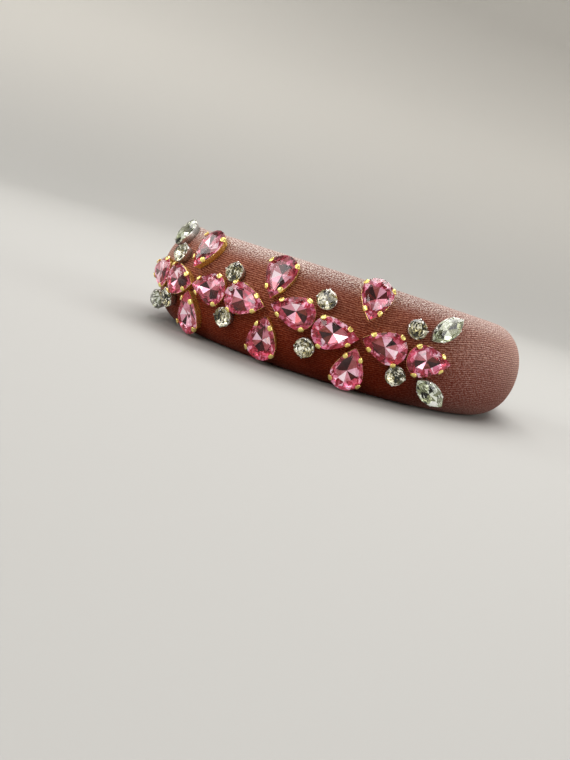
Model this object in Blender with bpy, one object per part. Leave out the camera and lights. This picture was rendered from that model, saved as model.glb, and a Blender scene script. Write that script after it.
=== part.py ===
"""A padded velvet headband with glass stones in claw settings, lying on its side edge.

Sizes are in millimetres and angles in degrees, and MM turns a size into metres. The band's lower
edge lies in the plane z = 0, its crown faces -Y and its open ends face +Y. A place on the band is
given as the distance along its crest from the crown, positive to +X, and the distance across the
padding from the crest, positive upwards.
"""
from typing import Callable, NamedTuple

import bmesh
import bpy
import numpy as np
from mathutils import Matrix, Vector

MM = 0.001

# Band: the crest is the outermost line of the padding
CREST_HALF_SPAN = 78.0
CREST_REACH = 70.0
LEG_START_ANGLE = 105.0
LEG_LENGTH = 52.0
LEG_RADIUS = 210.0
CROWN_HALF_WIDTH = 21.0
END_HALF_WIDTH = 11.5
WIDTH_TAPER = 0.024
END_TAPER_LENGTH = 58.0
CROWN_PADDING = 13.6
END_PADDING = 8.5
INNER_BULGE = 3.0
EDGE_FLATTENING = 0.4
END_ROUNDING = 9.0

# Faces of the band: steps round the outer and the inner side, rings along it, angles of the end rings
OUTER_STEPS = 18
INNER_STEPS = 12
MAIN_RINGS = 51
END_RING_ANGLES = (15.0, 30.0, 45.0, 60.0, 70.0)

# Stones
PETAL_LENGTH = 17.8
PETAL_WIDTH = 12.3
PETAL_FLANK_ANGLE = 75.0
LEAF_LENGTH = 16.8
LEAF_WIDTH = 8.0
ROUND_WIDTH = 7.6
GIRDLE_POINTS = 16
TABLE_SCALE = 0.62
KEEL_SCALE = 0.58
CULET_SCALE = 0.05
GIRDLE_THICKNESS = 0.4
CROWN_HEIGHT = 1.55
KEEL_DEPTH = 1.3
PAVILION_DEPTH = 2.05

# Settings: a cup under each stone, and claws that fold over its edge
SEAT_GAP = 0.3
CUP_BASE_SCALE = 0.86
CUP_FLOOR_SCALE = 0.76
RIM_SCALE = 0.94
CUP_FLOOR_HEIGHT = 0.55
RIM_HEIGHT = 2.7
GIRDLE_HEIGHT = 3.05

# Each step of a claw from the rim to its tip: how far its inner and outer edges stand out from the
# girdle, and their heights above the cup's base
CLAW_STEPS = (
    # inner_out, inner_height, outer_out, outer_height
    (0.28, 2.85, 0.70, 2.55),
    (0.28, 3.55, 0.70, 3.75),
    (-0.70, 4.25, -0.55, 4.68),
)

# Pear stones: name, along, across, turn of the pointed end from the band's direction
PETALS = (
    ("left_end", -62.5, -0.2, 180.0),
    ("left_flower_left", -44.8, -0.6, 2.0),
    ("left_flower_upper", -37.0, 13.0, -91.0),
    ("left_flower_lower", -36.6, -10.5, 87.0),
    ("left_flower_right", -27.1, 0.3, 184.0),
    ("middle_flower_left", -9.6, 0.7, 0.0),
    ("middle_flower_upper", 0.2, 11.9, -88.0),
    ("middle_flower_lower", 0.8, -9.7, 88.0),
    ("middle_flower_right", 9.8, 2.3, 180.0),
    ("right_flower_left", 26.6, -0.6, 6.0),
    ("right_flower_upper", 37.0, 14.3, -93.0),
    ("right_flower_lower", 34.7, -10.5, 88.0),
    ("right_flower_right", 44.2, 0.3, 177.0),
    ("right_end", 61.6, -0.5, 7.0),
)

# Marquise stones: name, along, across, turn
LEAVES = (
    ("left_upper", -62.4, 16.2, 124.0),
    ("left_lower", -66.4, -11.2, 195.0),
    ("right_upper", 66.6, 11.5, 42.0),
    ("right_lower", 67.0, -11.0, -29.0),
)

# Round stones: name, along, across, turn
ROUNDS = (
    ("outer_left_upper", -51.9, 8.5, 0.0),
    ("outer_left_lower", -53.1, -8.5, 0.0),
    ("inner_left_upper", -18.2, 8.6, 0.0),
    ("inner_left_lower", -17.4, -7.5, 0.0),
    ("inner_right_upper", 20.0, 9.5, 0.0),
    ("inner_right_lower", 17.2, -8.3, 0.0),
    ("outer_right_upper", 54.6, 8.9, 0.0),
    ("outer_right_lower", 51.6, -8.3, 0.0),
)

FINISHES = (
    # name, base_colour, roughness, metallic
    ("velvet", (0.42, 0.20, 0.18), 0.9, 0.0),
    ("gold", (0.83, 0.62, 0.18), 0.25, 1.0),
    ("silver", (0.75, 0.75, 0.73), 0.2, 1.0),
    ("pink_glass", (0.86, 0.33, 0.47), 0.05, 0.0),
    ("clear_glass", (0.80, 0.84, 0.80), 0.05, 0.0),
)

# The kinds of stone: cut, places, finish of the setting, finish of the stone
KINDS = (
    ("petal", PETALS, "gold", "pink_glass"),
    ("leaf", LEAVES, "silver", "clear_glass"),
    ("round", ROUNDS, "silver", "clear_glass"),
)


def clear_scene():
    """Remove every object of the open scene."""
    for obj in list(bpy.data.objects):
        bpy.data.objects.remove(obj, do_unlink=True)


def make_collection(name):
    """A new collection under the scene."""
    collection = bpy.data.collections.new(name)
    bpy.context.scene.collection.children.link(collection)
    return collection


def make_material(name, colour, roughness, metallic):
    """A plain surface finish."""
    material = bpy.data.materials.new(name)
    material.use_nodes = True
    shader = material.node_tree.nodes["Principled BSDF"]
    shader.inputs["Base Color"].default_value = (*colour, 1.0)
    shader.inputs["Roughness"].default_value = roughness
    shader.inputs["Metallic"].default_value = metallic
    return material


def make_object(name, mesh, collection, parent, place=Matrix.Identity(4)):
    """A named piece at its place under the parent."""
    obj = bpy.data.objects.new(name, mesh)
    obj.location = place.to_translation()
    obj.rotation_euler = place.to_euler()
    obj.parent = parent
    collection.objects.link(obj)
    return obj


def to_mesh(bm, name, material):
    """The finished mesh of a closed solid, with its faces turned outwards."""
    bmesh.ops.recalc_face_normals(bm, faces=bm.faces)
    if bm.calc_volume(signed=True) < 0.0:
        bmesh.ops.reverse_faces(bm, faces=bm.faces)
    mesh = bpy.data.meshes.new(name)
    bm.to_mesh(mesh)
    bm.free()
    mesh.materials.append(material)
    return mesh


def ringed_tube(sides, rings):
    """A closed tube of rings, with each vertex's ring number and side number."""
    bm = bmesh.new()
    bmesh.ops.create_cone(
        bm, cap_ends=True, segments=sides, radius1=1.0, radius2=1.0, depth=rings - 1)
    upright = [edge for edge in bm.edges if abs(edge.verts[0].co.z - edge.verts[1].co.z) > 0.5]
    bmesh.ops.subdivide_edges(bm, edges=upright, cuts=rings - 2, use_grid_fill=True)
    co = np.array([vert.co for vert in bm.verts])
    ring = np.rint(co[:, 2] + (rings - 1) / 2).astype(int)
    side = np.rint(np.arctan2(co[:, 0], co[:, 1]) * sides / (2 * np.pi)).astype(int) % sides
    return bm, ring, side


def move_vertices(bm, points):
    """Put each vertex at its row of points, given in millimetres."""
    for vert, point in zip(bm.verts, points):
        vert.co = Vector(point) * MM


# Band


def crest_table():
    """The crest as closely spaced points: distance from the crown, x, y and heading.

    It is half an ellipse round the crown, carried on to LEG_START_ANGLE, and then a flat arc of
    LEG_RADIUS to each end.
    """
    angle = np.radians(np.linspace(-LEG_START_ANGLE, LEG_START_ANGLE, 841))
    x = CREST_HALF_SPAN * np.sin(angle)
    y = -CREST_REACH * np.cos(angle)
    heading = np.arctan2(CREST_REACH * np.sin(angle), CREST_HALF_SPAN * np.cos(angle))
    distance = np.concatenate(([0.0], np.cumsum(np.hypot(np.diff(x), np.diff(y)))))
    distance -= distance[-1] / 2

    reach = np.linspace(0.0, LEG_LENGTH, 93)[1:]
    turned = heading[-1] + reach / LEG_RADIUS
    leg_x = x[-1] + LEG_RADIUS * (np.sin(turned) - np.sin(heading[-1]))
    leg_y = y[-1] - LEG_RADIUS * (np.cos(turned) - np.cos(heading[-1]))
    return (
        np.concatenate((-distance[-1] - reach[::-1], distance, distance[-1] + reach)),
        np.concatenate((-leg_x[::-1], x, leg_x)),
        np.concatenate((leg_y[::-1], y, leg_y)),
        np.concatenate((-turned[::-1], heading, turned)),
    )


CREST_DISTANCE, CREST_X, CREST_Y, CREST_HEADING = crest_table()
HALF_LENGTH = CREST_DISTANCE[-1]


def crest(along):
    """The crest's x, y and heading at these distances along it."""
    return (
        np.interp(along, CREST_DISTANCE, CREST_X),
        np.interp(along, CREST_DISTANCE, CREST_Y),
        np.interp(along, CREST_DISTANCE, CREST_HEADING),
    )


def section_size(along):
    """The band's half width and padding depth: a slow taper round the head, a quicker one in the legs."""
    y = crest(along)[1]
    leg = np.clip(1.0 - (HALF_LENGTH - np.abs(along)) / END_TAPER_LENGTH, 0.0, 1.0)
    ease = leg * leg * (3.0 - 2.0 * leg)
    round_head = CROWN_HALF_WIDTH - WIDTH_TAPER * (y + CREST_REACH)
    half_width = round_head + (END_HALF_WIDTH - round_head) * ease
    padding = CROWN_PADDING + (END_PADDING - CROWN_PADDING) * ease
    return half_width, padding


def band_points(along, angle, size=1.0):
    """Points of the band's surface.

    The section is half an ellipse outside, from -90 at the lower edge over 0 at the crest to 90 at
    the upper edge, and a flat-sided bulge inside. size shrinks it round its middle.
    """
    x, y, heading = crest(along)
    half_width, padding = section_size(along)
    turn = np.radians(angle)
    outer = np.cos(turn) >= 0.0
    depth = np.where(outer, padding * np.cos(turn), -INNER_BULGE * np.sqrt(np.abs(np.cos(turn))))
    rise = np.where(outer, np.sin(turn), np.sign(np.sin(turn)) * np.sqrt(np.abs(np.sin(turn))))
    middle = (padding - INNER_BULGE) / 2
    out = middle + size * (depth - middle) - padding
    height = half_width - EDGE_FLATTENING + size * rise * half_width
    return np.stack(
        (x + out * np.sin(heading), y - out * np.cos(heading), np.maximum(height, 0.0)), axis=-1)


def band_mesh(material):
    """The padded band: rings of its section along the crest, closer together at the rounded ends."""
    straight = np.linspace(-1.0, 1.0, MAIN_RINGS) * (HALF_LENGTH - END_ROUNDING)
    end_angles = np.radians(END_RING_ANGLES)
    end_along = HALF_LENGTH - END_ROUNDING * (1.0 - np.sin(end_angles))
    along = np.concatenate((-end_along[::-1], straight, end_along))
    size = np.concatenate((np.cos(end_angles)[::-1], np.ones(MAIN_RINGS), np.cos(end_angles)))
    angle = np.concatenate((
        np.linspace(-90.0, 90.0, OUTER_STEPS + 1),
        np.linspace(90.0, 270.0, INNER_STEPS + 1)[1:-1],
    ))
    bm, ring, side = ringed_tube(len(angle), len(along))
    move_vertices(bm, band_points(along[ring], angle[side], size[ring]))
    return to_mesh(bm, "padded_band", material)


def seat(along, across, turn):
    """The place of a setting's base: flat against the padding, with its pointed end turned as given."""
    half_width, padding = section_size(along)
    fine = np.linspace(-90.0, 90.0, 721)
    slope = np.hypot(half_width * np.cos(np.radians(fine)), padding * np.sin(np.radians(fine)))
    arc = np.cumsum(slope) * np.radians(fine[1] - fine[0])
    angle = np.interp(across, arc - np.interp(0.0, fine, arc), fine)

    origin = Vector(band_points(along, angle))
    forward = Vector(band_points(along + 0.5, angle) - band_points(along - 0.5, angle)).normalized()
    upward = Vector(band_points(along, angle + 1.0) - band_points(along, angle - 1.0)).normalized()
    normal = forward.cross(upward).normalized()
    pointing = Matrix.Rotation(np.radians(turn), 3, normal) @ forward
    sideways = normal.cross(pointing)
    place = Matrix((pointing, sideways, normal)).transposed().to_4x4()
    place.translation = (origin + normal * SEAT_GAP) * MM
    return place


# Outlines of the stones: points and outward directions at angles from the pointed end


def pear_outline(angle):
    """A round end, and two flank arcs that leave it smoothly and meet at the point."""
    radius = PETAL_WIDTH / 2
    point = PETAL_LENGTH - radius
    start = np.radians(PETAL_FLANK_ANGLE)
    flank_radius = (point**2 + radius**2 - 2 * point * radius * np.cos(start)) / (
        2 * (radius - point * np.cos(start)))
    centre = -(flank_radius - radius) * np.array((np.cos(start), np.sin(start)))

    turn = np.radians(angle)
    round_turn = np.abs((turn + np.pi) % (2 * np.pi) - np.pi)
    point_turn = np.arctan2(-centre[1], point - centre[0])
    flank_turn = point_turn + (start - point_turn) * round_turn / start
    on_flank = round_turn < start
    way = np.where(on_flank, flank_turn, round_turn)
    reach = np.where(on_flank, flank_radius, radius)
    upper = np.where(np.sin(turn) < -1e-9, -1.0, 1.0)
    x = np.where(on_flank, centre[0], 0.0) + reach * np.cos(way) + radius - PETAL_LENGTH / 2
    y = upper * (np.where(on_flank, centre[1], 0.0) + reach * np.sin(way))
    at_point = round_turn < 1e-6
    normal_x = np.where(at_point, 1.0, np.cos(way))
    normal_y = np.where(at_point, 0.0, upper * np.sin(way))
    return np.stack((x, y), -1), np.stack((normal_x, normal_y), -1)


def marquise_outline(angle):
    """Two equal arcs that meet in a point at each end."""
    half_length = LEAF_LENGTH / 2
    half_width = LEAF_WIDTH / 2
    radius = (half_length**2 + half_width**2) / (2 * half_width)
    turn = np.radians(angle)
    x = half_length * np.cos(turn)
    upper = np.where(np.sin(turn) < -1e-9, -1.0, 1.0)
    height = np.sqrt(radius**2 - x**2)
    at_point = np.abs(np.sin(turn)) < 1e-6
    normal_x = np.where(at_point, np.sign(x), x / radius)
    normal_y = np.where(at_point, 0.0, upper * height / radius)
    y = upper * (height - radius + half_width)
    return np.stack((x, y), -1), np.stack((normal_x, normal_y), -1)


def round_outline(angle):
    """A circle."""
    turn = np.radians(angle)
    normal = np.stack((np.cos(turn), np.sin(turn)), -1)
    return normal * ROUND_WIDTH / 2, normal


class Cut(NamedTuple):
    """A cut of stone. Angles are from the pointed end, as its outline takes them."""
    outline: Callable
    claws: tuple
    claw_half_angle: tuple
    other_corners: tuple


CUTS = {
    "petal": Cut(
        outline=pear_outline,
        claws=(30.0, 115.0, 245.0, 330.0),
        claw_half_angle=(5.4, 8.0, 8.0, 5.4),
        other_corners=(0.0, 56.0, 82.0, 150.0, 180.0, 210.0, 278.0, 304.0),
    ),
    "leaf": Cut(
        outline=marquise_outline,
        claws=(57.0, 123.0, 237.0, 303.0),
        claw_half_angle=(4.5, 4.5, 4.5, 4.5),
        other_corners=(0.0, 28.0, 90.0, 152.0, 180.0, 208.0, 270.0, 332.0),
    ),
    "round": Cut(
        outline=round_outline,
        claws=(0.0, 90.0, 180.0, 270.0),
        claw_half_angle=(8.3, 8.3, 8.3, 8.3),
        other_corners=(45.0, 135.0, 225.0, 315.0),
    ),
}


def stone_mesh(cut, material):
    """A cut stone: the hull of its table, girdle, keel corners and culet."""
    outline = CUTS[cut].outline
    girdle = outline(np.arange(GIRDLE_POINTS) * 360.0 / GIRDLE_POINTS)[0]
    between = outline((np.arange(GIRDLE_POINTS // 2) + 0.5) * 720.0 / GIRDLE_POINTS)[0]
    girdle_top = GIRDLE_HEIGHT + GIRDLE_THICKNESS
    levels = (
        (between * TABLE_SCALE, girdle_top + CROWN_HEIGHT),
        (girdle, girdle_top),
        (girdle, GIRDLE_HEIGHT),
        (between * KEEL_SCALE, GIRDLE_HEIGHT - KEEL_DEPTH),
        (between * CULET_SCALE, GIRDLE_HEIGHT - PAVILION_DEPTH),
    )
    bm = bmesh.new()
    for points, height in levels:
        for x, y in points:
            bm.verts.new(Vector((x, y, height)) * MM)
    bmesh.ops.convex_hull(bm, input=bm.verts)
    bmesh.ops.dissolve_limit(bm, angle_limit=np.radians(0.5), verts=bm.verts, edges=bm.edges)
    return to_mesh(bm, cut + "_stone", material)


def setting_mesh(cut, material):
    """A flared cup with its hollow for the stone, and claws drawn up from its rim."""
    shape = CUTS[cut]
    claws = np.array(shape.claws)
    half = np.array(shape.claw_half_angle)
    angles = np.sort(np.concatenate((claws - half, claws + half, shape.other_corners)) % 360.0)
    points, normals = shape.outline(angles)
    scales = np.array((CUP_BASE_SCALE, 1.0, RIM_SCALE, CUP_FLOOR_SCALE))
    heights = np.array((0.0, RIM_HEIGHT, RIM_HEIGHT, CUP_FLOOR_HEIGHT))

    bm, ring, side = ringed_tube(len(angles), len(scales))
    move_vertices(bm, np.column_stack((points[side] * scales[ring][:, None], heights[ring])))
    corner = {vert: (ring[i], side[i]) for i, vert in enumerate(bm.verts)}
    for start in np.searchsorted(angles, (claws - half) % 360.0 - 1e-6):
        ends = {(level, (start + step) % len(angles)) for level in (1, 2) for step in (0, 1)}
        face = next(f for f in bm.faces if {corner.get(v) for v in f.verts} == ends)
        draw_claw(bm, face, [corner[v] for v in face.verts], points, normals)
    return to_mesh(bm, cut + "_setting", material)


def draw_claw(bm, face, corners, points, normals):
    """Draw one face of the rim up beside the girdle and over the stone's edge.

    Each of the face's corners is given as its ring, 1 on the rim's outer edge and 2 on its inner
    edge, and its side number in points and normals.
    """
    for inner_out, inner_height, outer_out, outer_height in CLAW_STEPS:
        face = bmesh.ops.extrude_discrete_faces(bm, faces=[face])["faces"][0]
        for vert, (level, side) in zip(face.verts, corners):
            out, height = (outer_out, outer_height) if level == 1 else (inner_out, inner_height)
            x, y = points[side] + normals[side] * out
            vert.co = Vector((x, y, height)) * MM


def centre_on_floor(frame, objects):
    """Shift the whole part so that the middle of its box's underside is the origin."""
    bpy.context.view_layer.update()
    corners = np.array([obj.matrix_world @ vert.co for obj in objects for vert in obj.data.vertices])
    middle = (corners.min(axis=0) + corners.max(axis=0)) / 2
    frame.location = (-middle[0], -middle[1], 0.0)


def main():
    """Build the band, then a setting and a stone at every place."""
    clear_scene()
    collection = make_collection("padded_headband")
    frame = bpy.data.objects.new("headband_frame", None)
    collection.objects.link(frame)
    finish = {values[0]: make_material(*values) for values in FINISHES}

    pieces = [make_object("padded_band", band_mesh(finish["velvet"]), collection, frame)]
    for cut, places, metal, glass in KINDS:
        cup = setting_mesh(cut, finish[metal])
        stone = stone_mesh(cut, finish[glass])
        for name, along, across, turn in places:
            place = seat(along, across, turn)
            pieces.append(make_object(f"{cut}_{name}_setting", cup, collection, frame, place))
            pieces.append(make_object(f"{cut}_{name}_stone", stone, collection, frame, place))
    centre_on_floor(frame, pieces)


main()
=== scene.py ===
"""Looks of a padded velvet headband with foil-backed glass stones in claw settings.

Sizes are in millimetres and angles in degrees until a mesh is made, and MM turns them into metres.
A place on the band is given as the distance along its crest from the crown, positive to +X, and the
distance across the padding from the crest, positive upwards.
"""
import logging
from dataclasses import dataclass, field
from enum import Enum
from functools import cached_property
from typing import Any, Callable, Mapping, Sequence

import bmesh
import bpy
import numpy as np
from mathutils import Matrix, Vector


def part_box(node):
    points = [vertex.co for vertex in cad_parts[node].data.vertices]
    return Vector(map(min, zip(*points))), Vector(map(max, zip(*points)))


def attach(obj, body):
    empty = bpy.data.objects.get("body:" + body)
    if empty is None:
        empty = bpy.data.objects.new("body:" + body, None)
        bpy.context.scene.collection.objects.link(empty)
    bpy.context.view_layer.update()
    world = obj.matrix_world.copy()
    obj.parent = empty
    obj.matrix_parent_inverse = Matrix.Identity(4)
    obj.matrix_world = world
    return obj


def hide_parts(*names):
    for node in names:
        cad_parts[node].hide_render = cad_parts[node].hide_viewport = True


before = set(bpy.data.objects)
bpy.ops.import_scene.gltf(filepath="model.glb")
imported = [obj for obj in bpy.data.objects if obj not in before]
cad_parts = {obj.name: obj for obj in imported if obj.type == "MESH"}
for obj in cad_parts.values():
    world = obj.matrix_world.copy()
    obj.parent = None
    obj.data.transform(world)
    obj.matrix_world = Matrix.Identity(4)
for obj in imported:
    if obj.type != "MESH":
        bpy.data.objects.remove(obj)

LOG = logging.getLogger("headband")
MM = 0.001
TURN = 360.0
ROOT = "root"
MERGE_DISTANCE = 1e-7
TOLERANCE = 1e-6
SIDE_TOLERANCE = 1e-9

Array = np.ndarray
Colour = tuple[float, float, float]
BLACK = (0.0, 0.0, 0.0)


# Arithmetic on arrays


def smooth(low: float, high: float, value: Array) -> Array:
    """An S-shaped step from 0 at low to 1 at high: with t the share of the way, t^2 (3 - 2t)."""
    share = np.clip((value - low) / (high - low), 0.0, 1.0)
    return share * share * (3.0 - 2.0 * share)


def unit(vectors: Array) -> Array:
    """The vectors of the last axis scaled to length 1."""
    return vectors / np.linalg.norm(vectors, axis=-1, keepdims=True)


def tube_faces(rings: int, sides: int) -> Array:
    """Quads of a tube: each joins one side of a ring to the same side of the next ring.

    Args:
        rings: number of rings, whose points follow each other in the point list.
        sides: number of points in a ring; the last one joins the first.

    Returns:
        Point numbers, four to a face.
    """
    ring, side = np.meshgrid(np.arange(rings - 1), np.arange(sides), indexing="ij")
    beside = (side + 1) % sides
    corners = (ring * sides + side, ring * sides + beside,
               (ring + 1) * sides + beside, (ring + 1) * sides + side)
    return np.stack(corners, axis=-1).reshape(-1, 4)


def curve_through(points: Sequence[tuple[float, float]], count: int) -> Array:
    """A smooth curve through points, evenly spaced by their distance apart.

    Each stretch is the cubic (2, -5, 4, -1) blend of Catmull and Rom: its slope at a point is half
    the step from the point before to the point after.

    Args:
        points: the points that the curve goes through.
        count: number of samples.

    Returns:
        The samples, one row each.
    """
    knots = np.asarray(points, float)
    padded = np.vstack((2 * knots[0] - knots[1], knots, 2 * knots[-1] - knots[-2]))
    reach = np.concatenate(([0.0], np.cumsum(np.linalg.norm(np.diff(knots, axis=0), axis=1))))
    place = np.linspace(0.0, reach[-1], count)
    index = np.clip(np.searchsorted(reach, place, side="right") - 1, 0, len(knots) - 2)
    t = ((place - reach[index]) / (reach[index + 1] - reach[index]))[:, None]
    before, here, after, beyond = (padded[index + step] for step in range(4))
    return 0.5 * (2 * here + (after - before) * t
                  + (2 * before - 5 * here + 4 * after - beyond) * t**2
                  + (3 * here - before - 3 * after + beyond) * t**3)


# Meshes and pieces


@dataclass
class Shell:
    """A closed surface as arrays: its points, its faces and which finish each face takes."""

    points: Array
    faces: list[tuple[int, ...]]
    slots: list[int]

    @classmethod
    def tube(cls, rings: Array, slot: int = 0) -> "Shell":
        """A tube through rings of points.

        Args:
            rings: the points, an array of rings by sides by three.
            slot: the number of the finish.

        Returns:
            The tube.
        """
        faces = tube_faces(rings.shape[0], rings.shape[1]).tolist()
        return cls(rings.reshape(-1, 3), [tuple(face) for face in faces], [slot] * len(faces))

    @classmethod
    def joined(cls, shells: Sequence["Shell"]) -> "Shell":
        """Several shells as one list of points and faces.

        Args:
            shells: the shells, in order.

        Returns:
            One shell that holds them all.
        """
        starts = np.cumsum([0] + [len(shell.points) for shell in shells[:-1]])
        return cls(
            np.vstack([shell.points for shell in shells]),
            [tuple(int(i) + int(start) for i in face)
             for shell, start in zip(shells, starts) for face in shell.faces],
            [slot for shell in shells for slot in shell.slots])

    def moved(self, place: "Seat") -> "Shell":
        """The shell carried from a seat's own axes to the part's frame."""
        return Shell(place.to_part(self.points), self.faces, self.slots)


def add_object(name: str, data: bpy.types.ID) -> bpy.types.Object:
    """Add an object at the origin to the scene.

    Args:
        name: its name.
        data: its mesh, lamp or camera.

    Returns:
        The new object.
    """
    item = bpy.data.objects.new(name, data)
    bpy.context.scene.collection.objects.link(item)
    return item


def add_attribute(mesh: bpy.types.Mesh, name: str, domain: str, values: Array) -> None:
    """Give a mesh numbers for its finish to read.

    Args:
        mesh: the mesh.
        name: the name that the finish reads.
        domain: POINT or FACE.
        values: a number for each point or face.
    """
    attribute = mesh.attributes.new(name, "FLOAT", domain)
    attribute.data.foreach_set("value", values.astype(np.float32))


def read_vectors(items: bpy.types.bpy_prop_collection, name: str) -> Array:
    """Read a vector from each point of a mesh.

    Args:
        items: the points, or their normals.
        name: what is read, such as co.

    Returns:
        The vectors, one row each.
    """
    flat = np.empty(len(items) * 3, np.float32)
    items.foreach_get(name, flat)
    return flat.reshape(-1, 3).astype(float)


def make_piece(name: str, shell: Shell, finishes: Sequence[bpy.types.Material],
               smooth_angle: float | None = None) -> bpy.types.Object:
    """Make an object whose place is in its mesh, with its poles merged and its faces outwards.

    Args:
        name: the piece's name.
        shell: its surface, in millimetres.
        finishes: the materials that the shell's slots number.
        smooth_angle: the angle up to which edges are shaded smooth, or None for flat facets.

    Returns:
        The new object.
    """
    mesh = bpy.data.meshes.new(name)
    mesh.from_pydata((shell.points * MM).tolist(), [], shell.faces)
    mesh.polygons.foreach_set("material_index", np.asarray(shell.slots, np.int32))
    for finish in finishes:
        mesh.materials.append(finish)

    bm = bmesh.new()
    bm.from_mesh(mesh)
    bmesh.ops.remove_doubles(bm, verts=bm.verts, dist=MERGE_DISTANCE)
    bmesh.ops.dissolve_degenerate(bm, edges=bm.edges, dist=MERGE_DISTANCE)
    bmesh.ops.recalc_face_normals(bm, faces=bm.faces)
    bm.to_mesh(mesh)
    bm.free()
    if smooth_angle is not None:
        mesh.shade_smooth()
        mesh.set_sharp_from_angle(angle=np.radians(smooth_angle))
    return add_object(name, mesh)


# Shader graphs


class Signal:
    """A shader socket that takes part in arithmetic: each sign adds its Math node."""

    def __init__(self, graph: "Graph", socket: bpy.types.NodeSocket) -> None:
        """A signal from one of the graph's sockets."""
        self.graph = graph
        self.socket = socket

    def _math(self, operation: str, *values: Any) -> "Signal":
        """A Math node on these values."""
        return self.graph.node("ShaderNodeMath", {"operation": operation},
                               dict(enumerate(values))).out("Value")

    def __add__(self, other: Any) -> "Signal":
        """The sum of both."""
        return self._math("ADD", self, other)

    __radd__ = __add__

    def __sub__(self, other: Any) -> "Signal":
        """This less the other."""
        return self._math("SUBTRACT", self, other)

    def __rsub__(self, other: Any) -> "Signal":
        """The other less this."""
        return self._math("SUBTRACT", other, self)

    def __mul__(self, other: Any) -> "Signal":
        """The product of both."""
        return self._math("MULTIPLY", self, other)

    __rmul__ = __mul__

    def sine(self) -> "Signal":
        """The sine of this, in radians."""
        return self._math("SINE", self)

    def size(self) -> "Signal":
        """This without its sign."""
        return self._math("ABSOLUTE", self)

    def between(self, low: float, high: float) -> "Signal":
        """A smooth step.

        Args:
            low: the value where it is 0.
            high: the value where it is 1.

        Returns:
            The step.
        """
        settings = {"interpolation_type": "SMOOTHSTEP"}
        values = {"Value": self, "From Min": low, "From Max": high}
        return self.graph.node("ShaderNodeMapRange", settings, values).out("Result")


class Built:
    """A node that has been added, with its outputs as signals."""

    def __init__(self, graph: "Graph", node: bpy.types.Node) -> None:
        """One of the graph's nodes."""
        self.graph = graph
        self.node = node

    def out(self, name: str) -> Signal:
        """One of the node's outputs."""
        return Signal(self.graph, self.node.outputs[name])


class Graph:
    """The nodes of one material."""

    def __init__(self, name: str) -> None:
        """Start a material with nothing but its output.

        Args:
            name: the material's name.
        """
        self.material = bpy.data.materials.new(name)
        self.material.use_nodes = True
        self.tree = self.material.node_tree
        self.tree.nodes.clear()
        self.output = self.tree.nodes.new("ShaderNodeOutputMaterial")

    def node(self, kind: str, settings: Mapping[str, Any] | None = None,
             values: Mapping[Any, Any] | None = None) -> Built:
        """Add a node.

        Args:
            kind: the node's type.
            settings: what is set on the node first; "stops" are a ramp's places and colours.
            values: a number, colour or signal for each socket, by its name or number.

        Returns:
            The node.
        """
        node = self.tree.nodes.new(kind)
        for name, value in (settings or {}).items():
            if name == "stops":
                self._set_stops(node.color_ramp, value)
            else:
                setattr(node, name, value)
        for key, value in (values or {}).items():
            self.feed(node.inputs[key], value)
        return Built(self, node)

    def feed(self, socket: bpy.types.NodeSocket, value: Any) -> None:
        """Link a signal to a socket, or set the socket's own value.

        Args:
            socket: an input of a node.
            value: a signal, a number or a colour.
        """
        if isinstance(value, Signal):
            self.tree.links.new(value.socket, socket)
        elif isinstance(value, (tuple, list)) and len(value) == 3 and socket.type == "RGBA":
            socket.default_value = (*value, 1.0)
        else:
            socket.default_value = value

    @staticmethod
    def _set_stops(ramp: bpy.types.ColorRamp, stops: Sequence[tuple[float, Colour]]) -> None:
        """Give a ramp its stops.

        Args:
            ramp: a new ramp, which has two stops.
            stops: the place and colour of each, in order.
        """
        for _ in stops[2:]:
            ramp.elements.new(0.5)
        for element, (place, colour) in zip(ramp.elements, stops):
            element.position = place
            element.color = (*colour, 1.0)

    def blend(self, share: Any, low: Any, high: Any) -> Signal:
        """A colour between two.

        Args:
            share: how much of the second, from 0 to 1.
            low: the first colour.
            high: the second colour.

        Returns:
            The blend.
        """
        node = self.node("ShaderNodeMix", {"data_type": "RGBA"})
        inputs = node.node.inputs
        colours = [socket for socket in inputs if socket.type == "RGBA"]
        self.feed(inputs["Factor"], share)
        self.feed(colours[0], low)
        self.feed(colours[1], high)
        return Signal(self, next(s for s in node.node.outputs if s.type == "RGBA"))

    def noise(self, place: Signal, scale: float, detail: float = 3.0,
              roughness: float = 0.5) -> Signal:
        """A noise from 0 to 1.

        Args:
            place: the coordinates that it lies on.
            scale: how many spots there are to a unit of them.
            detail: how many finer layers it has.
            roughness: how strong the finer layers are.

        Returns:
            The noise.
        """
        values = {"Vector": place, "Scale": scale, "Detail": detail, "Roughness": roughness}
        return self.node("ShaderNodeTexNoise", {}, values).out("Fac")

    def stretched(self, place: Signal, scale: tuple[float, float, float]) -> Signal:
        """Coordinates scaled differently along each axis."""
        return self.node("ShaderNodeVectorMath", {"operation": "MULTIPLY"},
                         {0: place, 1: scale}).out("Vector")

    def bump(self, height: Signal, strength: float, distance: float) -> Signal:
        """A normal bent by a height.

        Args:
            height: the height, from 0 to 1.
            strength: how much of it shows.
            distance: what the full range stands for, in metres.

        Returns:
            The normal.
        """
        values = {"Height": height, "Strength": strength, "Distance": distance}
        return self.node("ShaderNodeBump", {}, values).out("Normal")

    def surface(self, values: Mapping[Any, Any]) -> bpy.types.Material:
        """Close the graph with a Principled shader.

        Args:
            values: a number, colour or signal for each of its sockets, by name.

        Returns:
            The finished material.
        """
        shader = self.node("ShaderNodeBsdfPrincipled", {}, values)
        self.tree.links.new(shader.out("BSDF").socket, self.output.inputs["Surface"])
        return self.material


# Finishes


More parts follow.
